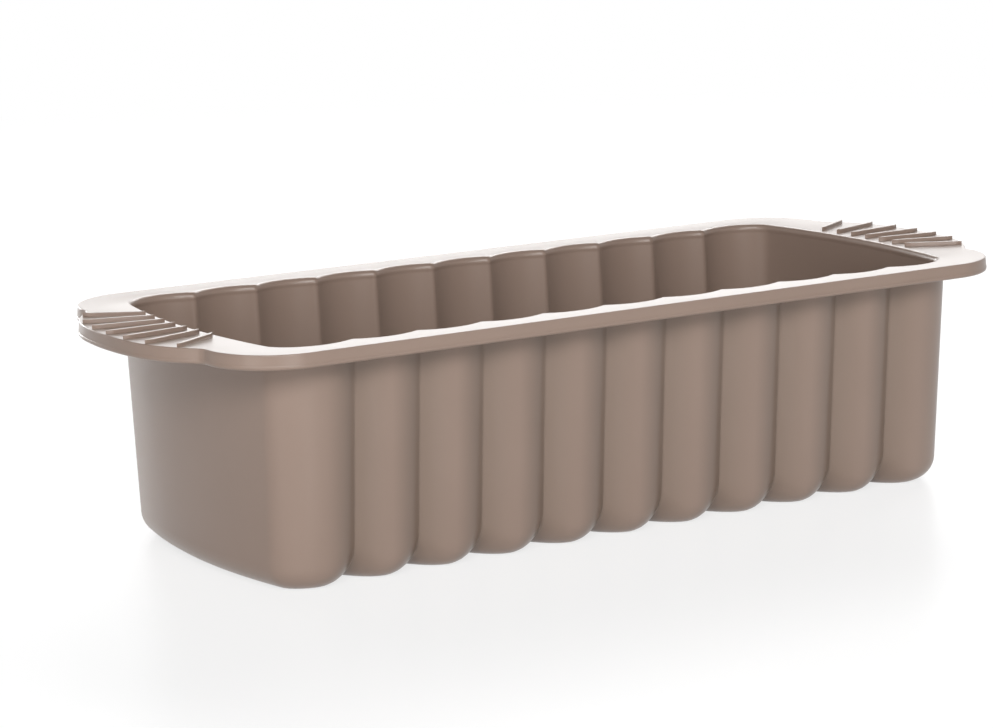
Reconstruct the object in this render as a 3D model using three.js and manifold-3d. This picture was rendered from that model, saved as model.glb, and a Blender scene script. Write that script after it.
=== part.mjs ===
import * as THREE from "three";
import { mergeVertices } from "three/addons/utils/BufferGeometryUtils.js";
import Module from "manifold-3d";

// Fluted silicone loaf mould, moulded in one piece round a steel wire in its rim.
// Millimetres, +Z up. The origin is the centre of the flat underside.
// +X runs along the loaf, to one of the two grip tabs.

const wasm = await Module();
wasm.setup();

// Basin, outside sizes at the mouth; the floor is smaller by the draft of its walls
const mouldHeight = 74.3;
const wallThickness = 2.2;
const floorThickness = 2.4;
const mouthLength = 260.2;
const mouthWidth = 111.4;
const mouthBowRadius = 250;
const mouthCornerRadius = 10;
const mouthLipRadius = 1.6;
const endWallDraft = 1.3;
const sideWallDraft = 3.65;
const baseBowRadius = 200;
const baseCornerRadius = 10;
const baseFillet = 7.6;

// Flutes along the two long walls: round crests with a sharp valley between them
const flutePitch = 22;
const plainCornerRun = 18;
const mouthFluteDepth = 2.7;
const baseFluteDepth = 4;

// The bottom edge is rounded more and more towards each valley
const valleyFootRun = 15;
const valleyFootRise = 13;
const footGrowthPower = 0.85;

// Wire in the rim's edge, and the holes left by the pins that hold it during moulding
const wireDiameter = 2.4;
const wireClearance = 0.3;
const wireCoverAbove = 0.8;
const wireCoverBeside = 1.1;
const wireWeldUpset = 0.12;
const pinHoleDiameter = 2;
const pinHolesPerSide = 3;
const cutOverrun = 1;

// Rim: a flat flange round the mouth, with a thicker edge round the wire
const rimEndWidth = 11.4;
const rimSideWidth = 8.7;
const rimCornerRadius = 22.5;
const rimThickness = 2.6;
const rimRootFillet = 1.8;
const edgeTopRound = 0.9;
const edgeLowRound = 1.2;
const edgeFlankRun = 0.8;

// Grip tabs at both ends
const tabReach = 12.9;
const tabCrownRadius = 110;
const tabCrownHalfWidth = 16;
const tabRootRadius = 5;
const tabRootMargin = 0.4;

// Grip ribs, fanned across each tab
const ribCount = 7;
const ribWidth = 1.4;
const ribHeight = 1.3;
const ribRound = 0.4;
const ribInnerPitch = 7.5;
const ribOuterPitch = 10.9;
const ribMouthMargin = 2.6;
const ribEdgeMargin = 1.4;
const ribSink = 0.6;

// How finely the curves are stepped
const halfFluteSteps = 4;
const crownSteps = 4;
const shoulderSteps = 5;
const rootSteps = 3;
const rimCornerSteps = 6;
const basinCornerSteps = 6;
const baseFilletSteps = 3;
const floorFilletSteps = 3;
const lipSteps = 2;
const wireSides = 8;
const ribCurveSteps = 3;
const ribBevelSteps = 1;
const pinHoleSides = 12;

// A cubic with handles of this share of its legs follows a quarter circle
const quarterArcShare = 0.5523;

const between = THREE.MathUtils.lerp;
const quarterTurn = Math.PI / 2;

const baseLength = mouthLength - 2 * endWallDraft;
const baseWidth = mouthWidth - 2 * sideWallDraft;
const rimLength = mouthLength + 2 * rimEndWidth;
const rimWidth = mouthWidth + 2 * rimSideWidth;
const overallLength = rimLength + 2 * tabReach;

const channelDiameter = wireDiameter + 2 * wireClearance;
const edgeThickness = channelDiameter + 2 * wireCoverAbove;
const edgeWidth = channelDiameter + 2 * wireCoverBeside;
const wireEdgeInset = edgeWidth / 2;
const wireHeight = mouldHeight - edgeThickness / 2;

// Flutes fill each long wall, and leave a plain run to the corners at both ends.
const halfFlutes = Math.floor(
  (mouthLength - 2 * plainCornerRun) / flutePitch,
);
const lastCrest = (halfFlutes * flutePitch) / 2;

function arcPoints(centre, radius, from, to, steps) {
  const points = [];
  for (let i = 0; i <= steps; i++) {
    const angle = between(from, to, i / steps);
    points.push(
      new THREE.Vector2(
        centre.x + radius * Math.cos(angle),
        centre.y + radius * Math.sin(angle),
      ),
    );
  }
  return points;
}

// A quarter outline runs from the +X axis to the +Y axis; its mirror images close it.
function closedOutline(quarter) {
  const inner = quarter.slice(1, -1);
  const back = [...inner].reverse();
  const mirrored = (points, x, y) =>
    points.map((p) => new THREE.Vector2(p.x * x, p.y * y));
  return [
    ...quarter,
    ...mirrored(back, -1, 1),
    ...mirrored(quarter.slice(0, 1), -1, 1),
    ...mirrored(inner, -1, -1),
    ...mirrored(quarter.slice(-1), 1, -1),
    ...mirrored(back, 1, -1),
  ];
}

// Each point moves square to the outline, inwards where its inset is positive.
function insetOutline(outline, insetOf) {
  const count = outline.length;
  return outline.map((p, i) => {
    const before = outline[(i + count - 1) % count];
    const after = outline[(i + 1) % count];
    const normalIn = new THREE.Vector2(
      before.y - p.y,
      p.x - before.x,
    ).normalize();
    normalIn.add(new THREE.Vector2(p.y - after.y, after.x - p.x).normalize());
    return normalIn.setLength(insetOf(i)).add(p);
  });
}

function arcRadius(halfChord, rise) {
  return (halfChord * halfChord + rise * rise) / (2 * rise);
}

// Both outlines have this many points from the middle of an end to the end of its corner.
const cornerStop = crownSteps + shoulderSteps + rootSteps + rimCornerSteps;

// Where a bowed end of the basin lies, this far from its middle.
function bowX(length, bowRadius, y) {
  return length / 2 - bowRadius + Math.sqrt(bowRadius * bowRadius - y * y);
}

// Outside of the basin in plan: bowed ends, round corners and fluted sides.
function basinOutline(length, width, bowRadius, cornerRadius, fluteDepth) {
  const crest = width / 2;
  const endX = (y) => bowX(length, bowRadius, y);
  const bowStop = crest - cornerRadius;
  const start = new THREE.Vector2(endX(bowStop), bowStop);
  const stop = new THREE.Vector2(lastCrest, crest);
  const endHandle = quarterArcShare * cornerRadius;
  const sideHandle = quarterArcShare * (endX(crest) - lastCrest);
  const bend = new THREE.CubicBezierCurve(
    start,
    new THREE.Vector2(
      start.x - (endHandle * bowStop) / bowRadius,
      start.y + endHandle,
    ),
    new THREE.Vector2(stop.x + sideHandle, stop.y),
    stop,
  );
  const bowSteps = cornerStop - basinCornerSteps;
  const points = [];
  for (let i = 0; i < bowSteps; i++) {
    const y = (bowStop * i) / bowSteps;
    points.push(new THREE.Vector2(endX(y), y));
  }
  points.push(...bend.getPoints(basinCornerSteps));

  const fluteRadius = arcRadius(flutePitch / 2, fluteDepth);
  const halfAngle = Math.asin(flutePitch / 2 / fluteRadius);
  for (let half = halfFlutes; half > 0; half--) {
    const towardsValley = half % 2 === halfFlutes % 2;
    const fluteX = (towardsValley ? half : half - 1) * (flutePitch / 2);
    for (let i = 1; i <= halfFluteSteps; i++) {
      const share = i / halfFluteSteps;
      const angle = halfAngle * (towardsValley ? -share : 1 - share);
      points.push(
        new THREE.Vector2(
          fluteX + fluteRadius * Math.sin(angle),
          crest - fluteRadius * (1 - Math.cos(angle)),
        ),
      );
    }
  }
  return closedOutline(points);
}

const mouthOutline = basinOutline(
  mouthLength,
  mouthWidth,
  mouthBowRadius,
  mouthCornerRadius,
  mouthFluteDepth,
);
const baseOutline = basinOutline(
  baseLength,
  baseWidth,
  baseBowRadius,
  baseCornerRadius,
  baseFluteDepth,
);

// How far each point of the outline lies into a flute valley, from 0 to 1.
const onFlutes = baseOutline.map((p) => Math.abs(p.x) < lastCrest);
const valleyShares = baseOutline.map((p, i) =>
  onFlutes[i] ? (baseWidth / 2 - Math.abs(p.y)) / baseFluteDepth : 0,
);
const footShares = valleyShares.map((share) => share ** footGrowthPower);
const footRuns = footShares.map((share) =>
  between(baseFillet, valleyFootRun, share),
);
const footRises = footShares.map((share) =>
  between(baseFillet, valleyFootRise, share),
);

// A ring of the basin: the walls are straight lines from the floor to the mouth.
// The foot of a flute runs straight across the mould, so that the flute keeps its width.
function basinRing(insetOf, heightOf, footInsetOf = () => 0) {
  const heights = baseOutline.map((p, i) => heightOf(i));
  const outline = baseOutline.map((p, i) =>
    p.clone().lerp(mouthOutline[i], heights[i] / mouldHeight),
  );
  const squareInset = (i) => insetOf(i) + (onFlutes[i] ? 0 : footInsetOf(i));
  return insetOutline(outline, squareInset).map((p, i) => {
    const across = onFlutes[i] ? Math.sign(p.y) * footInsetOf(i) : 0;
    return new THREE.Vector3(p.x, p.y - across, heights[i]);
  });
}

// The tab's edge is three arcs that run into each other: a flat crown, a shoulder and
// a hollow root, which ends on the rim's straight end just before the rim's corner.
const rimCorner = new THREE.Vector2(
  rimLength / 2 - rimCornerRadius,
  rimWidth / 2 - rimCornerRadius,
);
const crownCentre = new THREE.Vector2(overallLength / 2 - tabCrownRadius, 0);
const crownAngle = Math.asin(tabCrownHalfWidth / tabCrownRadius);
const crownNormal = new THREE.Vector2(
  Math.cos(crownAngle),
  Math.sin(crownAngle),
);
const crownEnd = crownNormal
  .clone()
  .multiplyScalar(tabCrownRadius)
  .add(crownCentre);
const rootCentre = new THREE.Vector2(
  rimLength / 2 + tabRootRadius,
  rimCorner.y - tabRootMargin,
);
const rootToCrown = crownEnd.clone().sub(rootCentre);
const tabShoulderRadius =
  (rootToCrown.lengthSq() - tabRootRadius * tabRootRadius) /
  (2 * (tabRootRadius + rootToCrown.dot(crownNormal)));
const shoulderCentre = crownNormal
  .clone()
  .multiplyScalar(-tabShoulderRadius)
  .add(crownEnd);
const rootAngle = rootCentre.clone().sub(shoulderCentre).angle();

// Outer edge of the rim and its two tabs, with as many points as the basin outline.
function rimQuarter(sideShares) {
  const crown = arcPoints(
    crownCentre,
    tabCrownRadius,
    0,
    crownAngle,
    crownSteps,
  );
  const shoulder = arcPoints(
    shoulderCentre,
    tabShoulderRadius,
    crownAngle,
    rootAngle,
    shoulderSteps,
  );
  const root = arcPoints(
    rootCentre,
    tabRootRadius,
    rootAngle - Math.PI,
    -Math.PI,
    rootSteps - 1,
  );
  const corner = arcPoints(
    rimCorner,
    rimCornerRadius,
    0,
    quarterTurn,
    rimCornerSteps,
  );
  const side = sideShares.map(
    (share) => new THREE.Vector2(rimCorner.x * share, rimWidth / 2),
  );
  return [...crown, ...shoulder.slice(1), ...root.slice(1), ...corner, ...side];
}

// Skins a run of rings with as many points each, and closes both ends with strips that
// run across from each point to its mirror image.
function loftedSolid(rings) {
  const around = rings[0].length;
  const positions = rings.flat().flatMap((p) => [p.x, p.y, p.z]);
  const faces = [];
  for (let r = 0; r + 1 < rings.length; r++) {
    for (let i = 0; i < around; i++) {
      const a = r * around + i;
      const b = r * around + ((i + 1) % around);
      faces.push(a, b, a + around, b, b + around, a + around);
    }
  }
  const lastRow = (rings.length - 1) * around;
  for (let i = 0; i < around / 2; i++) {
    const across = (around - i) % around;
    if (i > 0) {
      faces.push(i, across, i + 1);
      faces.push(lastRow + i, lastRow + i + 1, lastRow + across);
    }
    if (i + 1 < around / 2) {
      faces.push(i + 1, across, around - i - 1);
      faces.push(lastRow + i + 1, lastRow + around - i - 1, lastRow + across);
    }
  }
  const geometry = new THREE.BufferGeometry();
  geometry.setAttribute(
    "position",
    new THREE.Float32BufferAttribute(positions, 3),
  );
  geometry.setIndex(faces);
  return geometry;
}

// A round section carried along a closed path at one height.
function sweptLoop(path, z, radiusAt) {
  const count = path.length;
  const positions = [];
  const faces = [];
  path.forEach((p, i) => {
    const before = path[(i + count - 1) % count];
    const after = path[(i + 1) % count];
    const outward = new THREE.Vector2(
      after.y - before.y,
      before.x - after.x,
    ).normalize();
    const radius = radiusAt(i);
    for (let s = 0; s < wireSides; s++) {
      const angle = ((s + 1 / 2) * 2 * Math.PI) / wireSides;
      const out = radius * Math.cos(angle);
      positions.push(
        p.x + outward.x * out,
        p.y + outward.y * out,
        z + radius * Math.sin(angle),
      );
      const a = i * wireSides + s;
      const b = i * wireSides + ((s + 1) % wireSides);
      const c = ((i + 1) % count) * wireSides + s;
      const d = ((i + 1) % count) * wireSides + ((s + 1) % wireSides);
      faces.push(a, c, b, b, c, d);
    }
  });
  const geometry = new THREE.BufferGeometry();
  geometry.setAttribute(
    "position",
    new THREE.Float32BufferAttribute(positions, 3),
  );
  geometry.setIndex(faces);
  return geometry;
}

function solidFrom(geometry) {
  const bare = geometry.clone();
  bare.deleteAttribute("normal");
  bare.deleteAttribute("uv");
  const merged = mergeVertices(bare);
  return new wasm.Manifold(
    new wasm.Mesh({
      numProp: 3,
      vertProperties: new Float32Array(merged.attributes.position.array),
      triVerts: new Uint32Array(merged.index.array),
    }),
  );
}

function geometryFrom(solid) {
  const mesh = solid.getMesh();
  const geometry = new THREE.BufferGeometry();
  geometry.setAttribute(
    "position",
    new THREE.BufferAttribute(new Float32Array(mesh.vertProperties), 3),
  );
  geometry.setIndex(new THREE.BufferAttribute(new Uint32Array(mesh.triVerts), 1));
  geometry.computeVertexNormals();
  return geometry;
}

// The basin, rim and tabs as one skin: up the outside, over the edge, down the inside.
function basinAndRim() {
  const sideShares = mouthOutline
    .slice(cornerStop + 1, mouthOutline.length / 4 + 1)
    .map((p) => p.x / mouthOutline[cornerStop].x);
  const rim = closedOutline(rimQuarter(sideShares));
  const rimRing = (inset, depth) =>
    insetOutline(rim, () => inset).map(
      (p) => new THREE.Vector3(p.x, p.y, mouldHeight - depth),
    );
  const rings = [];
  for (let i = 0; i <= baseFilletSteps; i++) {
    const angle = (quarterTurn * i) / baseFilletSteps;
    rings.push(
      basinRing(
        () => 0,
        (p) => footRises[p] * (1 - Math.cos(angle)),
        (p) => footRuns[p] * (1 - Math.sin(angle)),
      ),
    );
  }
  const rimUnderside = mouldHeight - rimThickness;
  rings.push(
    basinRing(
      () => 0,
      () => rimUnderside - rimRootFillet,
    ),
  );
  rings.push(
    basinRing(
      () => -rimRootFillet,
      () => rimUnderside,
    ),
  );
  rings.push(rimRing(edgeWidth, rimThickness));
  rings.push(rimRing(edgeWidth - edgeFlankRun, edgeThickness));
  rings.push(rimRing(edgeLowRound, edgeThickness));
  rings.push(rimRing(0, edgeThickness - edgeLowRound));
  rings.push(rimRing(0, edgeTopRound));
  rings.push(rimRing(edgeTopRound, 0));
  for (let i = 0; i <= lipSteps; i++) {
    const angle = (quarterTurn * i) / lipSteps;
    rings.push(
      basinRing(
        () => wallThickness - mouthLipRadius * (1 - Math.sin(angle)),
        () => mouldHeight - mouthLipRadius * (1 - Math.cos(angle)),
      ),
    );
  }
  for (let i = 0; i <= floorFilletSteps; i++) {
    const angle = (quarterTurn * i) / floorFilletSteps;
    const insideRise = (p) => footRises[p] - wallThickness;
    const insideRun = (p) => footRuns[p] - wallThickness;
    rings.push(
      basinRing(
        () => wallThickness,
        (p) => floorThickness + insideRise(p) * (1 - Math.sin(angle)),
        (p) => insideRun(p) * (1 - Math.cos(angle)),
      ),
    );
  }
  return solidFrom(loftedSolid(rings));
}

// One rounded bar from the mouth's bowed end to the edge of the tab.
function gripRib(index, side) {
  const innerY = index * ribInnerPitch;
  const innerEnd = new THREE.Vector2(
    bowX(mouthLength, mouthBowRadius, innerY) - wallThickness + ribMouthMargin,
    innerY,
  );
  const outerY = index * ribOuterPitch;
  const onCrown = Math.abs(outerY) <= tabCrownHalfWidth;
  const centre = onCrown ? crownCentre : shoulderCentre;
  const radius = (onCrown ? tabCrownRadius : tabShoulderRadius) - ribEdgeMargin;
  const rise = Math.abs(outerY) - centre.y;
  const outerEnd = new THREE.Vector2(
    centre.x + Math.sqrt(radius * radius - rise * rise),
    outerY,
  );
  const length = innerEnd.distanceTo(outerEnd);
  const halfWidth = ribWidth / 2 - ribRound;
  const outline = new THREE.Shape();
  outline.absarc(length, 0, halfWidth, -quarterTurn, quarterTurn, false);
  outline.absarc(0, 0, halfWidth, quarterTurn, 3 * quarterTurn, false);
  const bar = new THREE.ExtrudeGeometry(outline, {
    depth: ribHeight + ribSink - 2 * ribRound,
    bevelThickness: ribRound,
    bevelSize: ribRound,
    bevelSegments: ribBevelSteps,
    curveSegments: ribCurveSteps,
  });
  const run = outerEnd.clone().sub(innerEnd);
  bar.rotateZ(run.angle());
  bar.translate(innerEnd.x, innerEnd.y, mouldHeight - ribSink + ribRound);
  if (side < 0) {
    bar.rotateZ(Math.PI);
  }
  return solidFrom(bar);
}

// The wire runs at one inset from the rim's edge, out and back round both tabs.
function wirePath() {
  return insetOutline(closedOutline(rimQuarter([0])), () => wireEdgeInset);
}

// A blind hole from below the rim's edge up to the middle of the wire's channel.
function pinHole(x, y) {
  const bottom = mouldHeight - edgeThickness - cutOverrun;
  const hole = new THREE.CylinderGeometry(
    pinHoleDiameter / 2,
    pinHoleDiameter / 2,
    wireHeight - bottom,
    pinHoleSides,
  );
  hole.rotateX(quarterTurn);
  hole.translate(x, y, (wireHeight + bottom) / 2);
  return solidFrom(hole);
}

function siliconeMoulding() {
  let moulding = basinAndRim();
  const middleRib = (ribCount - 1) / 2;
  for (const side of [-1, 1]) {
    for (let i = -middleRib; i <= middleRib; i++) {
      moulding = moulding.add(gripRib(i, side));
    }
  }
  const channel = sweptLoop(wirePath(), wireHeight, () => channelDiameter / 2);
  moulding = moulding.subtract(solidFrom(channel));
  const sideY = rimWidth / 2 - wireEdgeInset;
  const tabX = overallLength / 2 - wireEdgeInset;
  const holeSpan = 2 * (rimCorner.x - flutePitch);
  for (const side of [-1, 1]) {
    for (let i = 0; i < pinHolesPerSide; i++) {
      const share = i / (pinHolesPerSide - 1) - 1 / 2;
      moulding = moulding.subtract(pinHole(share * holeSpan, side * sideY));
    }
    moulding = moulding.subtract(pinHole(side * tabX, 0));
  }
  return geometryFrom(moulding);
}

// Drawn wire, bent to shape and butt-welded in the middle of one long side.
function rimWire() {
  const path = wirePath();
  const weld = path.findIndex(
    (p) => Math.abs(p.x) < wireClearance && p.y < 0,
  );
  return sweptLoop(
    path,
    wireHeight,
    (i) => wireDiameter / 2 + (i === weld ? wireWeldUpset : 0),
  );
}

function named(name, geometry, material) {
  const mesh = new THREE.Mesh(geometry, material);
  mesh.name = name;
  return mesh;
}

const silicone = new THREE.MeshStandardMaterial({
  color: "#897669",
  roughness: 0.55,
  metalness: 0,
});
const steel = new THREE.MeshStandardMaterial({
  color: "#b9bcc0",
  roughness: 0.35,
  metalness: 1,
});

const loafMould = new THREE.Group();
loafMould.add(named("silicone_moulding", siliconeMoulding(), silicone));
loafMould.add(named("rim_wire", rimWire(), steel));

export default loafMould;
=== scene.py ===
import math
import bpy
from mathutils import Matrix, Vector


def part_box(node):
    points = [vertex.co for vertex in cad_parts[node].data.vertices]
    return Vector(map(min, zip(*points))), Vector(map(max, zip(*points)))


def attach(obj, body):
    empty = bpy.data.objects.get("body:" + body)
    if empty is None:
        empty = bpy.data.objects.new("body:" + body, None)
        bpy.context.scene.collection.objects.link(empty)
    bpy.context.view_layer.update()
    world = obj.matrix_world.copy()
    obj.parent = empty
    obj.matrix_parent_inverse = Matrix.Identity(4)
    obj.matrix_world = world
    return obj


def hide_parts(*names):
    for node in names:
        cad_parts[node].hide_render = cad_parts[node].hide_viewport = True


# Fluted silicone loaf mould on a white table, in metres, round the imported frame.

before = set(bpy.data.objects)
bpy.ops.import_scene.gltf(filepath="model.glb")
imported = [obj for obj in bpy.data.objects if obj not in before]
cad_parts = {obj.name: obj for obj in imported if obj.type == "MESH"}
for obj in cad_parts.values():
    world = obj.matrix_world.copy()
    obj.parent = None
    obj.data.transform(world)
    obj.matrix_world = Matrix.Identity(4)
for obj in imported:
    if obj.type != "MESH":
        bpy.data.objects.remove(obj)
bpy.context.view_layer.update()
mm = 0.001  # sizes in the dictionaries are millimetres, as on a drawing
scene = bpy.context.scene
scene.view_settings.view_transform = "Standard"
print("frame loaded")


def linear(hexColour):
    channels = [int(hexColour[i : i + 2], 16) / 255 for i in (1, 3, 5)]
    curve = [c / 12.92 if c <= 0.04045 else ((c + 0.055) / 1.055) ** 2.4 for c in channels]
    return (*curve, 1)


def addNode(tree, kind, settings=None, inputs=None):
    node = tree.nodes.new(kind)
    for name, value in (settings or {}).items():
        setattr(node, name, value)
    for key, value in (inputs or {}).items():
        if isinstance(value, bpy.types.NodeSocket):
            tree.links.new(value, node.inputs[key])
        else:
            node.inputs[key].default_value = value
    return node


def addMath(tree, operation, *terms):
    inputs = dict(enumerate(terms))
    return addNode(tree, "ShaderNodeMath", {"operation": operation}, inputs).outputs[0]


def addNoise(tree, place, size, detail):  # size in mm
    inputs = {"Vector": place, "Scale": 1 / (size * mm), "Detail": detail}
    return addNode(tree, "ShaderNodeTexNoise", inputs=inputs).outputs["Fac"]


def addMix(tree, share, first, second):
    inputs = {0: share, 6: first, 7: second}
    return addNode(tree, "ShaderNodeMix", {"data_type": "RGBA"}, inputs).outputs[2]


def addRange(tree, share, low, high):
    inputs = {"Value": share, "To Min": low, "To Max": high}
    return addNode(tree, "ShaderNodeMapRange", inputs=inputs).outputs[0]


def addFade(tree, value, start, stop, low, high):  # a smooth step from low to high
    inputs = {"Value": value, "From Min": start, "From Max": stop, "To Min": low, "To Max": high}
    smooth = {"interpolation_type": "SMOOTHSTEP"}
    return addNode(tree, "ShaderNodeMapRange", smooth, inputs).outputs[0]


def addBump(tree, height, strength, depth):  # depth in mm
    inputs = {"Height": height, "Strength": strength, "Distance": depth * mm}
    return addNode(tree, "ShaderNodeBump", inputs=inputs).outputs[0]


def emptyTree(owner):  # of a material or of the world
    owner.use_nodes = True
    owner.node_tree.nodes.clear()
    return owner.node_tree


def meshOf(name, spots, edges, faces):
    mesh = bpy.data.meshes.new(name)
    mesh.from_pydata(spots, edges, faces)
    return mesh


def placed(name, data):
    obj = bpy.data.objects.new(name, data)
    scene.collection.objects.link(obj)
    return obj


def fullTurn(count):
    return [2 * math.pi * i / count for i in range(count)]


# Camera: a long lens before the left end of the mould, looking a little down

cameraView = dict(
    place=(-536.6, -840.5, 241.5),
    turn=31.66,  # degrees to the right of +Y
    tilt=-11.05,
    roll=-1.38,
    lens=114.6,
    sensor=36,
)
cameraData = bpy.data.cameras.new("camera")
cameraData.lens = cameraView["lens"]
cameraData.sensor_width = cameraView["sensor"]
camera = placed("camera", cameraData)
camera.matrix_world = (
    Matrix.Translation(Vector(cameraView["place"]) * mm)
    @ Matrix.Rotation(math.radians(-cameraView["turn"]), 4, "Z")
    @ Matrix.Rotation(math.radians(90 + cameraView["tilt"]), 4, "X")
    @ Matrix.Rotation(math.radians(cameraView["roll"]), 4, "Z")
)
scene.camera = camera
print("camera set")


# Silicone: platinum-cured rubber from a lightly blasted tool.
# It is soft and satin: broad highlights, a fine even grain and faint cloudiness.
# Outside, the colour is painted darker towards each valley: painted shade for the shade that falls in
# the creases.

siliconeFinish = dict(
    lightCloud="#87756a",
    darkCloud="#806e63",
    # the colour of the painted shade in the outside valleys
    paintedCreaseShade="#736358",
    cloudSize=45,
    cloudDetail=2,
    grainSize=0.7,  # the real grain is about 0.1 mm; drawn coarser so that it shows
    grainDetail=3,
    grainStrength=1,
    grainDepth=0.012,
    roughness=0.3,
    roughnessSpread=0.03,
    ior=1.41,
)


def siliconeRubber():
    finish = siliconeFinish
    material = bpy.data.materials.new("siliconeRubber")
    tree = emptyTree(material)
    place = addNode(tree, "ShaderNodeTexCoord").outputs["Object"]
    clouds = addNoise(tree, place, finish["cloudSize"], finish["cloudDetail"])
    tint = addMix(tree, clouds, linear(finish["darkCloud"]), linear(finish["lightCloud"]))
    # painted shade: this attribute darkens the colour towards each outside valley, where shade falls
    # in the creases
    paintedShade = addNode(tree, "ShaderNodeAttribute", {"attribute_name": "paintedShade"}).outputs["Fac"]
    colour = addMix(tree, paintedShade, tint, linear(finish["paintedCreaseShade"]))
    grain = addNoise(tree, place, finish["grainSize"], finish["grainDetail"])
    middle, spread = finish["roughness"], finish["roughnessSpread"]
    gloss = addRange(tree, clouds, middle - spread, middle + spread)
    bump = addBump(tree, grain, finish["grainStrength"], finish["grainDepth"])
    shader = addNode(
        tree,
        "ShaderNodeBsdfPrincipled",
        inputs={"Base Color": colour, "Roughness": gloss, "IOR": finish["ior"], "Normal": bump},
    ).outputs[0]
    addNode(tree, "ShaderNodeOutputMaterial", inputs={"Surface": shader})
    return material


silicone = siliconeRubber()


# The moulding: basin, rim and tabs in one skin.
# The overall sizes come from the frame.

mouldLow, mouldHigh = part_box("silicone_moulding")
packedRibHeight = 1.3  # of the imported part's ribs above its rim
mould = dict(
    height=mouldHigh.z / mm - packedRibHeight,  # of the rim
    overallLength=(mouldHigh.x - mouldLow.x) / mm,
    rimWidth=(mouldHigh.y - mouldLow.y) / mm,
    wall=2.2,
    floor=2.4,
    mouthLength=260.2,
    mouthWidth=111.4,
    mouthBow=250,
    floorLength=257.6,
    floorWidth=104.1,
    floorBow=200,
    cornerRadius=10,
    footRound=7.6,
    floorRing=1.5,  # one more ring this far in keeps the floor's shading flat
    sharpAngle=50,  # degrees; flatter edges are shaded smooth
)
flutes = dict(
    count=11,
    pitch=22,
    mouthDepth=2.7,
    floorDepth=4,
    valleySoftness=0.4,
    footRun=15,  # the bottom edge is rounded more in a valley than on a crest
    footRise=13,
    footGrowth=1.7,
    paintedShadeReach=12,  # how far from a valley the painted shade fades out
)
rim = dict(
    length=283,
    cornerRadius=22.5,
    thickness=2.6,
    rootFillet=1.8,
    edgeThickness=4.6,
    edgeWidth=5.2,
    topRound=0.35,
    lowRound=0.85,
    flankRun=0.8,
    edgeLean=0.35,  # from the parting line up, the edge leans in
    partingDepth=3.3,
    partingStep=0.1,
    deckDrop=0.3,  # from the edge down to the mouth
    lipRound=1.3,
    lipProud=0.2,
    lipDepth=1.6,
    lipFade=1.4,
    softness=0.4,  # small rounds where the bead meets the flange, and beside the deck
)
partingShares = [  # the parting step's outline, in and up, as shares of the step
    (0, -1 / 4),
    (1 / 8, 0),
    (0.9, 1),
    (1, 1.3),
    (1.02, 2),
]
tab = dict(crownRadius=110, crownHalfWidth=16, rootRadius=5, rootMargin=0.4)
steps = dict(
    crown=8,
    shoulder=14,
    root=8,
    corner=16,
    halfFlute=12,
    crowding=1.8,  # how much closer the points stand beside a valley
    fillet=9,
    wall=4,
    round=5,
)
circleShare = 0.5523  # handle length, as a share of a cubic's legs, that follows a quarter circle
halfFlutes = flutes["count"] - 1
lastCrest = halfFlutes * flutes["pitch"] / 2
crestSlack = 0.001  # so that the last crest itself counts as part of the fluted side
cornerStop = steps["crown"] + steps["shoulder"] + steps["root"] + steps["corner"]


def arc(centre, radius, start, stop, count):
    angles = [start + (stop - start) * i / count for i in range(count + 1)]
    return [centre + radius * Vector((math.cos(a), math.sin(a))) for a in angles]


def mirrored(points, x, y):
    return [Vector((p.x * x, p.y * y)) for p in points]


def closedOutline(quarter):  # a quarter runs from the +X axis to the +Y axis
    inner = quarter[1:-1]
    back = inner[::-1]
    return [
        *quarter,
        *mirrored(back, -1, 1),
        *mirrored(quarter[:1], -1, 1),
        *mirrored(inner, -1, -1),
        *mirrored(quarter[-1:], 1, -1),
        *mirrored(back, 1, -1),
    ]


def insetOutline(outline, inset):
    moved = []
    for i, p in enumerate(outline):
        before = p - outline[i - 1]
        after = outline[(i + 1) % len(outline)] - p
        inwards = before.orthogonal().normalized() + after.orthogonal().normalized()
        moved.append(p + inwards.normalized() * inset)
    return moved


def sideStations():  # x along a fluted side, from the last crest to the middle
    stations = []
    for half in range(halfFlutes, 0, -1):
        towardsValley = (halfFlutes - half) % 2 == 0
        for i in range(1, steps["halfFlute"] + 1):
            share = i / steps["halfFlute"]
            if towardsValley:
                run = 1 - (1 - share) ** steps["crowding"]
            else:
                run = share ** steps["crowding"]
            stations.append((half - run) * flutes["pitch"] / 2)
    return stations


def basinOutline(length, width, bow):  # plain sides; the flutes are carved later
    crest = width / 2

    def endX(y):
        return length / 2 - bow + math.sqrt(bow * bow - y * y)

    bowStop = crest - mould["cornerRadius"]
    start = Vector((endX(bowStop), bowStop))
    stop = Vector((lastCrest, crest))
    endHandle = circleShare * mould["cornerRadius"]
    handles = [
        start + endHandle * Vector((-bowStop / bow, 1)),
        stop + Vector((circleShare * (endX(crest) - lastCrest), 0)),
    ]
    bowSteps = cornerStop - steps["corner"]
    points = [Vector((endX(bowStop * i / bowSteps), bowStop * i / bowSteps)) for i in range(bowSteps)]
    for i in range(steps["corner"] + 1):
        t = i / steps["corner"]
        s = 1 - t
        points.append(
            s**3 * start + 3 * s * s * t * handles[0] + 3 * s * t * t * handles[1] + t**3 * stop
        )
    points += [Vector((x, crest)) for x in sideStations()]
    return closedOutline(points)


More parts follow.
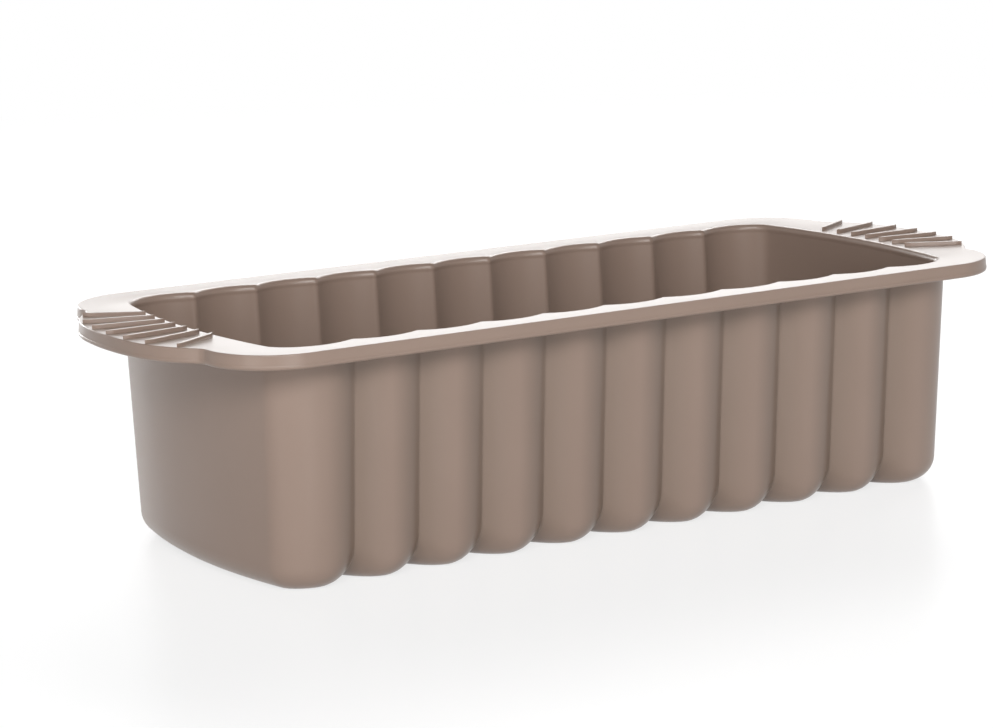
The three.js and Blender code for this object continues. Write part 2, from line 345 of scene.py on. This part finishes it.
# The tab's edge is three arcs that run into each other: crown, shoulder and hollow root.
rimCorner = Vector((rim["length"] / 2, mould["rimWidth"] / 2)) - Vector((1, 1)) * rim["cornerRadius"]
crownCentre = Vector((mould["overallLength"] / 2 - tab["crownRadius"], 0))
crownAngle = math.asin(tab["crownHalfWidth"] / tab["crownRadius"])
crownNormal = Vector((math.cos(crownAngle), math.sin(crownAngle)))
crownEnd = crownCentre + crownNormal * tab["crownRadius"]
rootCentre = Vector((rim["length"] / 2 + tab["rootRadius"], rimCorner.y - tab["rootMargin"]))
rootToCrown = crownEnd - rootCentre
shoulderRadius = (rootToCrown.length_squared - tab["rootRadius"] ** 2) / (
    2 * (tab["rootRadius"] + rootToCrown.dot(crownNormal))
)
shoulderCentre = crownEnd - crownNormal * shoulderRadius
rootReach = rootCentre - shoulderCentre
rootAngle = math.atan2(rootReach.y, rootReach.x)


def rimOutline():
    crown = arc(crownCentre, tab["crownRadius"], 0, crownAngle, steps["crown"])
    shoulder = arc(shoulderCentre, shoulderRadius, crownAngle, rootAngle, steps["shoulder"])
    root = arc(rootCentre, tab["rootRadius"], rootAngle - math.pi, -math.pi, steps["root"] - 1)
    corner = arc(rimCorner, rim["cornerRadius"], 0, math.pi / 2, steps["corner"])
    stretch = rimCorner.x / lastCrest
    side = [Vector((x * stretch, mould["rimWidth"] / 2)) for x in sideStations()]
    return closedOutline([*crown, *shoulder[1:], *root[1:], *corner, *side])


# the last value is the share of painted shade in the valleys: outside only, fading out over the foot
ringValues = ["wallInset", "footInset", "footRunShare", "footRiseShare", "fluted", "paintedCreaseShade"]
mouthOutline = basinOutline(mould["mouthLength"], mould["mouthWidth"], mould["mouthBow"])
floorOutline = basinOutline(mould["floorLength"], mould["floorWidth"], mould["floorBow"])
edgeOutline = rimOutline()


def basinRing(wallInset, height, footInset=0, footRunShare=0, footRiseShare=0):
    share = height / mould["height"]
    outline = [a.lerp(b, share) for a, b in zip(floorOutline, mouthOutline)]
    return dict(
        points=insetOutline(outline, wallInset + footInset),
        height=height,
        wallInset=wallInset * mm,
        footInset=footInset * mm,
        footRunShare=footRunShare,
        footRiseShare=footRiseShare,
        fluted=1,
        # painted shade in the valleys, on the outside wall only
        paintedCreaseShade=0 if wallInset > 0 else 1 - footRunShare,
    )


def rimRing(inset, depth):
    outline = insetOutline(edgeOutline, inset)
    return dict(points=outline, height=mould["height"] - depth, **dict.fromkeys(ringValues, 0))


def quarterShares(count):  # sine and cosine over a quarter turn
    turns = [math.pi / 2 * i / count for i in range(count + 1)]
    return [(math.sin(turn), math.cos(turn)) for turn in turns]


def mouldRings():  # up the outside, round the rim's edge and down the inside
    wall, floor, foot = mould["wall"], mould["floor"], mould["footRound"]
    rings = [basinRing(0, 0, foot + mould["floorRing"], 1)]
    for sine, cosine in quarterShares(steps["fillet"]):
        rings.append(basinRing(0, foot * (1 - cosine), foot * (1 - sine), 1 - sine, 1 - cosine))
    underside = mould["height"] - rim["thickness"]
    filletFoot = underside - rim["rootFillet"]
    for i in range(1, steps["wall"] + 1):
        rings.append(basinRing(0, foot + (filletFoot - foot) * i / steps["wall"]))
    for sine, cosine in quarterShares(steps["round"])[1:]:
        rings.append(
            basinRing(-rim["rootFillet"] * (1 - cosine), filletFoot + rim["rootFillet"] * sine)
        )
    rings += edgeRings()
    deck = mould["height"] - rim["deckDrop"]
    lipHeight = deck - rim["lipDepth"]
    for sine, cosine in quarterShares(steps["round"]):
        rings.append(
            basinRing(
                wall + rim["lipProud"] - rim["lipRound"] * (1 - sine),
                deck - rim["lipDepth"] * (1 - cosine),
            )
        )
    for i in range(1, steps["round"] + 1):
        share = i / steps["round"]
        fade = (1 + math.cos(math.pi * share)) / 2
        rings.append(basinRing(wall + rim["lipProud"] * fade, lipHeight - rim["lipFade"] * share))
    wallTop = lipHeight - rim["lipFade"]
    inside = foot - wall
    for i in range(1, steps["wall"]):
        rings.append(basinRing(wall, wallTop + (floor + inside - wallTop) * i / steps["wall"]))
    for sine, cosine in quarterShares(steps["fillet"]):
        height = floor + inside * (1 - sine)
        rings.append(basinRing(wall, height, inside * (1 - cosine), 1 - cosine, 1 - sine))
    rings.append(basinRing(wall, floor, inside + mould["floorRing"], 1))
    return rings


def edgeRings():  # flange underside, bead, parting line, side and top of the rim
    thick, low, top = rim["edgeThickness"], rim["lowRound"], rim["topRound"]
    parting, step, lean = rim["partingDepth"], rim["partingStep"], rim["edgeLean"]
    flank, softness = rim["edgeWidth"], rim["softness"]
    rings = [
        rimRing(flank + softness, rim["thickness"]),
        rimRing(flank, rim["thickness"] + softness / 4),
        rimRing(flank - rim["flankRun"] + softness / 4, thick - softness),
        rimRing(flank - rim["flankRun"] - softness / 2, thick),
        rimRing(low + softness, thick),
    ]
    for sine, cosine in quarterShares(steps["round"]):
        rings.append(rimRing(low * (1 - sine), thick - low * (1 - cosine)))
    for inShare, upShare in partingShares:
        rings.append(rimRing(step * inShare, parting - step * upShare))
    rings.append(rimRing(lean, top + softness / 2))
    for sine, cosine in quarterShares(steps["round"]):
        rings.append(rimRing(lean + top * (1 - cosine), top * (1 - sine)))
    rings += [rimRing(lean + top + softness, 0), rimRing(flank, rim["deckDrop"] / 2)]
    return rings


def ringMesh(rings):
    around = len(rings[0]["points"])
    spots = [(p.x * mm, p.y * mm, ring["height"] * mm) for ring in rings for p in ring["points"]]
    faces = []
    for r in range(len(rings) - 1):
        for i in range(around):
            a, b = r * around + i, r * around + (i + 1) % around
            faces.append((a, b, b + around, a + around))
    last = (len(rings) - 1) * around
    for i in range(around // 2):  # the flat floor, in strips across the mould
        strip = [i, i + 1, around - i - 1, (around - i) % around]
        strip = sorted(set(strip), key=strip.index)
        faces += [tuple(strip[::-1]), tuple(last + j for j in strip)]
    mesh = meshOf("mould_skin", spots, [], faces)
    onSide = [abs(p.x) <= lastCrest + crestSlack for p in mouthOutline]
    for name in ringValues:
        values = [ring[name] * side for ring in rings for side in onSide]
        mesh.attributes.new(name, "FLOAT", "POINT").data.foreach_set("value", values)
    return mesh


def groupTree(name, inputs):
    tree = bpy.data.node_groups.new(name, "GeometryNodeTree")
    tree.interface.new_socket("Geometry", in_out="INPUT", socket_type="NodeSocketGeometry")
    tree.interface.new_socket("Geometry", in_out="OUTPUT", socket_type="NodeSocketGeometry")
    kinds = {int: "NodeSocketInt", float: "NodeSocketFloat"}
    for label, value in inputs.items():
        kind = kinds.get(type(value), "NodeSocketMaterial")
        tree.interface.new_socket(label, in_out="INPUT", socket_type=kind)
    return tree, addNode(tree, "NodeGroupInput").outputs


def addSums(tree, values, rows):  # one row for each sum: name, operation and its terms
    for name, operation, *terms in rows:
        values[name] = addMath(tree, operation, *[values.get(term, term) for term in terms])


def addPosition(tree, x, y, z):
    return addNode(tree, "ShaderNodeCombineXYZ", inputs={0: x, 1: y, 2: z}).outputs[0]


def positionParts(tree):
    spot = addNode(tree, "GeometryNodeInputPosition").outputs[0]
    return addNode(tree, "ShaderNodeSeparateXYZ", inputs={0: spot}).outputs


def storeValue(tree, geometry, name, value):
    return addNode(
        tree,
        "GeometryNodeStoreNamedAttribute",
        {"data_type": "FLOAT", "domain": "POINT"},
        {"Geometry": geometry, "Name": name, "Value": value},
    ).outputs[0]


def closeTree(tree, geometry, material):
    solid = addNode(tree, "GeometryNodeRealizeInstances", inputs={0: geometry}).outputs[0]
    coated = addNode(
        tree, "GeometryNodeSetMaterial", inputs={"Geometry": solid, "Material": material}
    ).outputs[0]
    addNode(tree, "NodeGroupOutput", inputs={0: coated})


def applyModifiers(obj):
    graph = bpy.context.evaluated_depsgraph_get()
    made = bpy.data.meshes.new_from_object(obj.evaluated_get(graph), depsgraph=graph)
    obj.modifiers.clear()
    obj.data = made


def carveByNodes(obj, tree, inputs):
    modifier = obj.modifiers.new(tree.name, "NODES")
    modifier.node_group = tree
    for item in tree.interface.items_tree:
        if item.in_out == "INPUT" and item.name in inputs:
            modifier[item.identifier] = inputs[item.name]
    applyModifiers(obj)
    slots = obj.data.materials
    while None in slots[:]:
        slots.pop(index=slots[:].index(None))


def fluteTree(inputs):
    tree, given = groupTree("carveFlutes", inputs)
    parts = positionParts(tree)
    values = {label: given[label] for label in inputs}
    values |= {"x": parts[0], "y": parts[1], "z": parts[2]}
    for name in ringValues:
        values[name] = addNode(tree, "GeometryNodeInputNamedAttribute", inputs={0: name}).outputs[0]
    addSums(
        tree,
        values,
        [
            # distance from the nearest crest, eased where it meets the next flute
            ("halfPitch", "MULTIPLY", "Flute Pitch", 0.5),
            ("offCrest", "PINGPONG", "x", "halfPitch"),
            ("fromValley", "SUBTRACT", "halfPitch", "offCrest"),
            ("fromValleySquared", "MULTIPLY", "fromValley", "fromValley"),
            ("softSquared", "MULTIPLY_ADD", "Valley Softness", "Valley Softness", "fromValleySquared"),
            ("softDistance", "SQRT", "softSquared"),
            ("reach", "SUBTRACT", "halfPitch", "softDistance"),
            ("reachSquared", "MULTIPLY", "reach", "reach"),
            # the rounded foot grows from crest to valley
            ("reachShare", "DIVIDE", "reach", "halfPitch"),
            ("reachShareKept", "MAXIMUM", "reachShare", 0.0),
            ("growth", "POWER", "reachShareKept", "Foot Growth"),
            ("runGain", "SUBTRACT", "Valley Foot Run", "Foot Round"),
            ("runGrowth", "MULTIPLY", "runGain", "growth"),
            ("footAcross", "MULTIPLY_ADD", "runGrowth", "footRunShare", "footInset"),
            ("riseGain", "SUBTRACT", "Valley Foot Rise", "Foot Round"),
            ("riseGrowth", "MULTIPLY", "riseGain", "growth"),
            ("newZ", "MULTIPLY_ADD", "riseGrowth", "footRiseShare", "z"),
            # depth of the flutes and width of the basin at this height
            ("heightShare", "DIVIDE", "newZ", "Height"),
            ("depthGain", "SUBTRACT", "Mouth Depth", "Floor Depth"),
            ("depth", "MULTIPLY_ADD", "depthGain", "heightShare", "Floor Depth"),
            ("widthGain", "SUBTRACT", "Mouth Width", "Floor Width"),
            ("width", "MULTIPLY_ADD", "widthGain", "heightShare", "Floor Width"),
            # radius of the flute's arc, and of the same arc inside the wall
            ("halfPitchSquared", "MULTIPLY", "halfPitch", "halfPitch"),
            ("chord", "MULTIPLY_ADD", "depth", "depth", "halfPitchSquared"),
            ("twiceDepth", "MULTIPLY", "depth", 2.0),
            ("radius", "DIVIDE", "chord", "twiceDepth"),
            ("insideRadius", "SUBTRACT", "radius", "wallInset"),
            ("insideRadiusSquared", "MULTIPLY", "insideRadius", "insideRadius"),
            ("arcSquared", "SUBTRACT", "insideRadiusSquared", "reachSquared"),
            ("arcRise", "SQRT", "arcSquared"),
            # inside, the wall turns round each valley at its own thickness
            ("valleyRise", "SUBTRACT", "radius", "depth"),
            ("thicknessSquared", "MULTIPLY", "wallInset", "wallInset"),
            ("turnSquared", "SUBTRACT", "thicknessSquared", "fromValleySquared"),
            ("turnSquaredKept", "MAXIMUM", "turnSquared", 0.0),
            ("turnRise", "SQRT", "turnSquaredKept"),
            ("ridgeRise", "SUBTRACT", "valleyRise", "turnRise"),
            ("turnReach", "MULTIPLY", "wallInset", "halfPitch"),
            ("turnEnd", "DIVIDE", "turnReach", "radius"),
            ("onRidge", "LESS_THAN", "fromValley", "turnEnd"),
            ("ridgeGain", "SUBTRACT", "ridgeRise", "arcRise"),
            ("rise", "MULTIPLY_ADD", "ridgeGain", "onRidge", "arcRise"),
            # place across the mould
            ("halfWidth", "MULTIPLY", "width", 0.5),
            ("centreY", "SUBTRACT", "halfWidth", "radius"),
            ("wallY", "ADD", "centreY", "rise"),
            ("carvedY", "SUBTRACT", "wallY", "footAcross"),
            ("side", "SIGN", "y"),
            ("newY", "MULTIPLY", "carvedY", "side"),
        ],
    )
    moved = addPosition(tree, values["x"], values["newY"], values["newZ"])
    carved = addNode(
        tree,
        "GeometryNodeSetPosition",
        inputs={"Geometry": given["Geometry"], "Selection": values["fluted"], "Position": moved},
    ).outputs[0]
    # painted shade: darkest at each valley, gone at the given reach from it, outside only
    nearValley = addFade(tree, values["fromValley"], 0, given["Painted Shade Reach"], 1, 0)
    paintedShade = addMath(tree, "MULTIPLY", nearValley, values["paintedCreaseShade"])
    closeTree(tree, storeValue(tree, carved, "paintedShade", paintedShade), given["Silicone"])
    return tree


def mouldSkin():
    skin = placed("mould_skin", ringMesh(mouldRings()))
    inputs = {
        "Flute Pitch": flutes["pitch"] * mm,
        "Valley Softness": flutes["valleySoftness"] * mm,
        "Floor Depth": flutes["floorDepth"] * mm,
        "Mouth Depth": flutes["mouthDepth"] * mm,
        "Floor Width": mould["floorWidth"] * mm,
        "Mouth Width": mould["mouthWidth"] * mm,
        "Height": mould["height"] * mm,
        "Foot Round": mould["footRound"] * mm,
        "Valley Foot Run": flutes["footRun"] * mm,
        "Valley Foot Rise": flutes["footRise"] * mm,
        "Foot Growth": flutes["footGrowth"],
        # how far the painted shade in the valleys reaches
        "Painted Shade Reach": flutes["paintedShadeReach"] * mm,
        "Silicone": silicone,
    }
    carveByNodes(skin, fluteTree(inputs), inputs)
    for name in ringValues:
        skin.data.attributes.remove(skin.data.attributes[name])
    return skin


# The channel that the wire lies in, and the holes that open it from below:
# pins hold the wire there while the silicone is moulded.

channel = dict(diameter=3, sides=16)
pins = dict(diameter=2, sides=32, perSide=3, side=61.8, span=194, overrun=1)


def channelMesh(path, height):  # a tube that closes on itself
    spots, faces = [], []
    count, sides, radius = len(path), channel["sides"], channel["diameter"] / 2
    for i, p in enumerate(path):
        outwards = -(path[(i + 1) % count] - path[i - 1]).orthogonal().normalized()
        for k, turn in enumerate(fullTurn(sides)):
            q = p + outwards * (radius * math.cos(turn))
            spots.append((q.x * mm, q.y * mm, (height + radius * math.sin(turn)) * mm))
            j, m = (i + 1) % count, (k + 1) % sides
            faces.append((i * sides + k, j * sides + k, j * sides + m, i * sides + m))
    return meshOf("channel", spots, [], faces)


def pinMesh(places, low, high):  # upright round pins
    spots, faces = [], []
    sides = pins["sides"]
    for place in places:
        first = len(spots)
        for k, turn in enumerate(fullTurn(sides)):
            x = place[0] + pins["diameter"] / 2 * math.cos(turn)
            y = place[1] + pins["diameter"] / 2 * math.sin(turn)
            spots += [(x * mm, y * mm, low * mm), (x * mm, y * mm, high * mm)]
            a, b = first + 2 * k, first + 2 * ((k + 1) % sides)
            faces.append((a, b, b + 1, a + 1))
        faces.append(tuple(range(first + 2 * sides - 2, first - 1, -2)))
        faces.append(tuple(range(first + 1, first + 2 * sides, 2)))
    return meshOf("pins", spots, [], faces)


def cutAway(obj, mesh):
    cutter = placed("cutter", mesh)
    modifier = obj.modifiers.new("cut", "BOOLEAN")
    modifier.operation = "DIFFERENCE"
    modifier.solver = "EXACT"
    modifier.object = cutter
    applyModifiers(obj)
    bpy.data.objects.remove(cutter)


def cutWireAndPins(skin):
    height = mould["height"] - rim["edgeThickness"] / 2
    path = insetOutline(edgeOutline, rim["edgeWidth"] / 2)
    cutAway(skin, channelMesh(path, height))
    places = []
    for side in (-1, 1):
        for i in range(pins["perSide"]):
            share = i / (pins["perSide"] - 1) - 1 / 2
            places.append((share * pins["span"], side * pins["side"]))
        places.append((side * (mould["overallLength"] - rim["edgeWidth"]) / 2, 0))
    bottom = mould["height"] - rim["edgeThickness"] - pins["overrun"]
    cutAway(skin, pinMesh(places, bottom, height))


skin = mouldSkin()
cutWireAndPins(skin)
skin.data.shade_smooth()
skin.data.set_sharp_from_angle(angle=math.radians(mould["sharpAngle"]))
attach(skin, "root")
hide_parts("silicone_moulding")
print("mould skin made", len(skin.data.polygons), "faces")


# Grip ribs: a fan of rounded bars across each tab

ribs = dict(
    count=7,
    width=1.4,
    height=1.05,  # as the photo shows them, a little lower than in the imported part
    topRound=0.28,
    topSteps=4,
    footRound=0.1,
    footSteps=3,
    sink=0.6,
    innerPitch=7.5,
    outerPitch=10.75,
    mouthMargin=2.6,
    edgeMargin=1.1,
    endRound=0.7,
    endWidthShare=0.03,  # what is left of the width at the very end
    stations=40,
)


def ribSection():  # half a rounded rectangle that stands on the rim, with a small foot
    half, top = ribs["width"] / 2, ribs["topRound"]
    foot, sink = ribs["footRound"], ribs["sink"]
    topCentre = Vector((half - top, ribs["height"] - top))
    quarter = arc(topCentre, top, 0, math.pi / 2, ribs["topSteps"])
    flare = arc(Vector((half + foot, foot)), foot, -math.pi / 2, -math.pi, ribs["footSteps"])
    side = [Vector((half + foot, -sink)), *flare, *quarter]
    return [*side, *mirrored(side[::-1], -1, 1)]


def ribTree(inputs):
    tree, given = groupTree("fanRibs", inputs)
    line = addNode(
        tree, "GeometryNodeCurvePrimitiveLine", inputs={"Start": (0, 0, 0), "End": (1, 0, 0)}
    ).outputs[0]
    line = addNode(
        tree, "GeometryNodeResampleCurve", inputs={"Curve": line, "Count": given["Stations"]}
    ).outputs[0]
    copies = addNode(
        tree,
        "GeometryNodeDuplicateElements",
        {"domain": "SPLINE"},
        {"Geometry": line, "Amount": given["Rib Count"]},
    )
    factor = addNode(tree, "GeometryNodeSplineParameter").outputs["Factor"]
    values = {label: given[label] for label in inputs}
    values |= {"index": copies.outputs["Duplicate Index"], "factor": factor}
    addSums(
        tree,
        values,
        [
            # where this rib stands in the fan
            ("gaps", "SUBTRACT", "Rib Count", 1.0),
            ("middle", "MULTIPLY", "gaps", 0.5),
            ("place", "SUBTRACT", "index", "middle"),
            ("innerY", "MULTIPLY", "place", "Inner Pitch"),
            ("outerY", "MULTIPLY", "place", "Outer Pitch"),
            # its inner end follows the bow of the mouth
            ("innerYSquared", "MULTIPLY", "innerY", "innerY"),
            ("bowSquared", "MULTIPLY", "Mouth Bow", "Mouth Bow"),
            ("bowRunSquared", "SUBTRACT", "bowSquared", "innerYSquared"),
            ("bowRun", "SQRT", "bowRunSquared"),
            ("innerX", "ADD", "Bow Centre X", "bowRun"),
            # its outer end lies on the tab's crown or on its shoulder
            ("outerOff", "ABSOLUTE", "outerY"),
            ("onShoulder", "GREATER_THAN", "outerOff", "Crown Half Width"),
            ("centreGain", "SUBTRACT", "Shoulder X", "Crown X"),
            ("centreX", "MULTIPLY_ADD", "centreGain", "onShoulder", "Crown X"),
            ("centreY", "MULTIPLY", "Shoulder Y", "onShoulder"),
            ("radiusGain", "SUBTRACT", "Shoulder Radius", "Crown Radius"),
            ("radius", "MULTIPLY_ADD", "radiusGain", "onShoulder", "Crown Radius"),
            ("radiusSquared", "MULTIPLY", "radius", "radius"),
            ("rise", "SUBTRACT", "outerOff", "centreY"),
            ("riseSquared", "MULTIPLY", "rise", "rise"),
            ("runSquared", "SUBTRACT", "radiusSquared", "riseSquared"),
            ("run", "SQRT", "runSquared"),
            ("outerX", "ADD", "centreX", "run"),
            # stations crowd towards both ends
            ("turn", "MULTIPLY", "factor", math.pi),
            ("cosine", "COSINE", "turn"),
            ("share", "MULTIPLY_ADD", "cosine", -0.5, 0.5),
            ("alongX", "SUBTRACT", "outerX", "innerX"),
            ("alongY", "SUBTRACT", "outerY", "innerY"),
            ("x", "MULTIPLY_ADD", "alongX", "share", "innerX"),
            ("y", "MULTIPLY_ADD", "alongY", "share", "innerY"),
            # the bar narrows to a round, upright end
            ("alongXSquared", "MULTIPLY", "alongX", "alongX"),
            ("lengthSquared", "MULTIPLY_ADD", "alongY", "alongY", "alongXSquared"),
            ("length", "SQRT", "lengthSquared"),
            ("walked", "MULTIPLY", "length", "share"),
            ("left", "SUBTRACT", "length", "walked"),
            ("toEnd", "MINIMUM", "walked", "left"),
            ("endShare", "DIVIDE", "toEnd", "End Round"),
            ("endShareCapped", "MINIMUM", "endShare", 1.0),
            ("gone", "SUBTRACT", 1.0, "endShareCapped"),
            ("goneSquared", "MULTIPLY", "gone", "gone"),
            ("scaleSquared", "SUBTRACT", 1.0, "goneSquared"),
            ("scale", "SQRT", "scaleSquared"),
            ("scaleKept", "MAXIMUM", "scale", ribs["endWidthShare"]),
        ],
    )
    spot = addPosition(tree, values["x"], values["y"], given["Deck Height"])
    paths = addNode(
        tree,
        "GeometryNodeSetPosition",
        inputs={"Geometry": copies.outputs["Geometry"], "Position": spot},
    ).outputs[0]
    paths = addNode(
        tree, "GeometryNodeSetCurveNormal", {"mode": "Z_UP"}, {"Curve": paths}
    ).outputs[0]
    paths = storeValue(tree, paths, "narrowing", values["scaleKept"])
    section = addNode(tree, "GeometryNodeMeshToCurve", inputs={"Mesh": given["Geometry"]}).outputs[0]
    bars = addNode(
        tree,
        "GeometryNodeCurveToMesh",
        inputs={
            "Curve": paths,
            "Profile Curve": section,
            "Scale": values["scaleKept"],
            "Fill Caps": True,
        },
    ).outputs[0]
    narrowing = addNode(
        tree, "GeometryNodeInputNamedAttribute", inputs={"Name": "narrowing"}
    ).outputs[0]
    parts = positionParts(tree)
    values |= {"barX": parts[0], "barY": parts[1], "barZ": parts[2], "narrowing": narrowing}
    addSums(
        tree,
        values,
        [
            # only the width narrows: the height is stretched back
            ("aboveDeck", "SUBTRACT", "barZ", "Deck Height"),
            ("fullHeight", "DIVIDE", "aboveDeck", "narrowing"),
            ("newZ", "ADD", "Deck Height", "fullHeight"),
        ],
    )
    spot = addPosition(tree, values["barX"], values["barY"], values["newZ"])
    bars = addNode(
        tree, "GeometryNodeSetPosition", inputs={"Geometry": bars, "Position": spot}
    ).outputs[0]
    otherTab = addNode(
        tree, "GeometryNodeTransform", inputs={"Geometry": bars, "Rotation": (0, 0, math.pi)}
    ).outputs[0]
    both = addNode(tree, "GeometryNodeJoinGeometry", inputs={0: bars})
    tree.links.new(otherTab, both.inputs[0])
    closeTree(tree, both.outputs[0], given["Silicone"])
    return tree


def gripRibs():
    outline = ribSection()
    spots = [(-p.x * mm, -p.y * mm, 0) for p in outline]
    edges = [(i, (i + 1) % len(outline)) for i in range(len(outline))]
    bars = placed("grip_ribs", meshOf("grip_ribs", spots, edges, []))
    bowCentre = mould["mouthLength"] / 2 - mould["mouthBow"]
    inputs = {
        "Rib Count": ribs["count"],
        "Stations": ribs["stations"],
        "Inner Pitch": ribs["innerPitch"] * mm,
        "Outer Pitch": ribs["outerPitch"] * mm,
        "Mouth Bow": mould["mouthBow"] * mm,
        "Bow Centre X": (bowCentre - mould["wall"] + ribs["mouthMargin"]) * mm,
        "Crown X": crownCentre.x * mm,
        "Crown Radius": (tab["crownRadius"] - ribs["edgeMargin"]) * mm,
        "Crown Half Width": tab["crownHalfWidth"] * mm,
        "Shoulder X": shoulderCentre.x * mm,
        "Shoulder Y": shoulderCentre.y * mm,
        "Shoulder Radius": (shoulderRadius - ribs["edgeMargin"]) * mm,
        "End Round": ribs["endRound"] * mm,
        "Deck Height": mould["height"] * mm,
        "Silicone": silicone,
    }
    carveByNodes(bars, ribTree(inputs), inputs)
    bars.data.shade_smooth()
    return bars


bars = gripRibs()
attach(bars, "root")
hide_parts("silicone_moulding")
print("grip ribs made", len(bars.data.polygons), "faces")


# Steel wire: drawn stainless wire, bright, with a fine uneven gloss from the die

wireFinish = dict(
    colour="#b9bcc0",
    markSize=0.6,
    markDetail=2,
    markStrength=0.6,
    markDepth=0.01,
    smooth=0.22,
    rough=0.42,
)


def drawnStainlessWire():
    finish = wireFinish
    material = bpy.data.materials.new("drawnStainlessWire")
    tree = emptyTree(material)
    place = addNode(tree, "ShaderNodeTexCoord").outputs["Object"]
    marks = addNoise(tree, place, finish["markSize"], finish["markDetail"])
    gloss = addRange(tree, marks, finish["smooth"], finish["rough"])
    bump = addBump(tree, marks, finish["markStrength"], finish["markDepth"])
    shader = addNode(
        tree,
        "ShaderNodeBsdfPrincipled",
        inputs={
            "Base Color": linear(finish["colour"]),
            "Metallic": 1.0,
            "Roughness": gloss,
            "Normal": bump,
        },
    ).outputs[0]
    addNode(tree, "ShaderNodeOutputMaterial", inputs={"Surface": shader})
    return material


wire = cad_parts["rim_wire"]
wire.data.materials.clear()
wire.data.materials.append(drawnStainlessWire())
print("wire finished")


# Floor, background and lights

studio = dict(
    floorRadius=1700,
    floorSides=128,
    floorGlow=0.75,  # share of the floor that shows as even white; it grows to 1 far away
    glowFrom=450,
    glowTo=1200,
    floorColour="#f4f4f4",
    floorRoughness=0.3,
    worldFill=0.07,
    backdropTop=14,  # degrees above the horizon, where the white backdrop starts to fade
    overheadFrom=34,
    overhead=0.2,
    distance=1800,
    aimHeight=40,
    softboxes=dict(  # degrees from +X, degrees up, width and height in mm, watts
        backLow=(68, 10, 2000, 500, 6.2),
        backHigh=(45, 35, 1400, 500, 24),
        backLeft=(95, 8, 500, 500, 11),
        key=(241, 30, 1200, 600, 27),
        leftLow=(206, 8, 700, 500, 6),
        frontLow=(262, 8, 700, 500, 8),
    ),
)


def seenDirectly(tree):  # 1 for the camera, and in reflections and through clear things
    rays = addNode(tree, "ShaderNodeLightPath").outputs
    seen = rays["Is Camera Ray"]
    for kind in ("Is Glossy Ray", "Is Transmission Ray"):
        seen = addMath(tree, "MAXIMUM", seen, rays[kind])
    return seen


def paleFloor():
    radius, sides = studio["floorRadius"] * mm, studio["floorSides"]
    spots = [(radius * math.cos(turn), radius * math.sin(turn), 0) for turn in fullTurn(sides)]
    floor = placed("floor", meshOf("floor", spots, [], [tuple(range(sides))]))
    material = bpy.data.materials.new("paleTable")
    tree = emptyTree(material)
    shader = addNode(
        tree,
        "ShaderNodeBsdfPrincipled",
        inputs={
            "Base Color": linear(studio["floorColour"]),
            "Roughness": studio["floorRoughness"],
        },
    ).outputs[0]
    glow = addNode(tree, "ShaderNodeEmission", inputs={"Strength": 1.0}).outputs[0]
    place = addNode(tree, "ShaderNodeTexCoord").outputs["Object"]
    away = addNode(tree, "ShaderNodeVectorMath", {"operation": "LENGTH"}, {0: place})
    glowFrom, glowTo = studio["glowFrom"] * mm, studio["glowTo"] * mm
    even = addFade(tree, away.outputs["Value"], glowFrom, glowTo, studio["floorGlow"], 1)
    share = addMath(tree, "MULTIPLY", seenDirectly(tree), even)
    mixed = addNode(tree, "ShaderNodeMixShader", inputs={0: share, 1: shader, 2: glow}).outputs[0]
    addNode(tree, "ShaderNodeOutputMaterial", inputs={"Surface": mixed})
    floor.data.materials.append(material)


def whiteWorld():  # a white backdrop that fades to a dim room overhead
    world = bpy.data.worlds.new("whiteWorld")
    scene.world = world
    tree = emptyTree(world)
    way = addNode(tree, "ShaderNodeTexCoord").outputs["Generated"]
    up = addNode(tree, "ShaderNodeSeparateXYZ", inputs={0: way}).outputs[2]
    backdropTop = math.sin(math.radians(studio["backdropTop"]))
    overheadFrom = math.sin(math.radians(studio["overheadFrom"]))
    backdrop = addFade(tree, up, backdropTop, overheadFrom, 1, studio["overhead"])
    fill, white = [
        addNode(
            tree, "ShaderNodeBackground", inputs={"Color": (1, 1, 1, 1), "Strength": strength}
        ).outputs[0]
        for strength in (studio["worldFill"], backdrop)
    ]
    mixed = addNode(
        tree, "ShaderNodeMixShader", inputs={0: seenDirectly(tree), 1: fill, 2: white}
    ).outputs[0]
    addNode(tree, "ShaderNodeOutputWorld", inputs={"Surface": mixed})


def softbox(name, azimuth, elevation, width, height, power):
    data = bpy.data.lights.new(name, "AREA")
    data.shape = "RECTANGLE"
    data.size = width * mm
    data.size_y = height * mm
    data.energy = power
    light = placed(name, data)
    aim = Vector((0, 0, studio["aimHeight"] * mm))
    turn = Matrix.Rotation(math.radians(azimuth), 3, "Z")
    turn = turn @ Matrix.Rotation(math.radians(-elevation), 3, "Y")
    away = turn @ Vector((studio["distance"] * mm, 0, 0))
    light.location = aim + away
    light.rotation_euler = (-away).to_track_quat("-Z", "Y").to_euler()
    light.visible_camera = False


paleFloor()
whiteWorld()
for name, values in studio["softboxes"].items():
    softbox(name, *values)
print("studio lit")
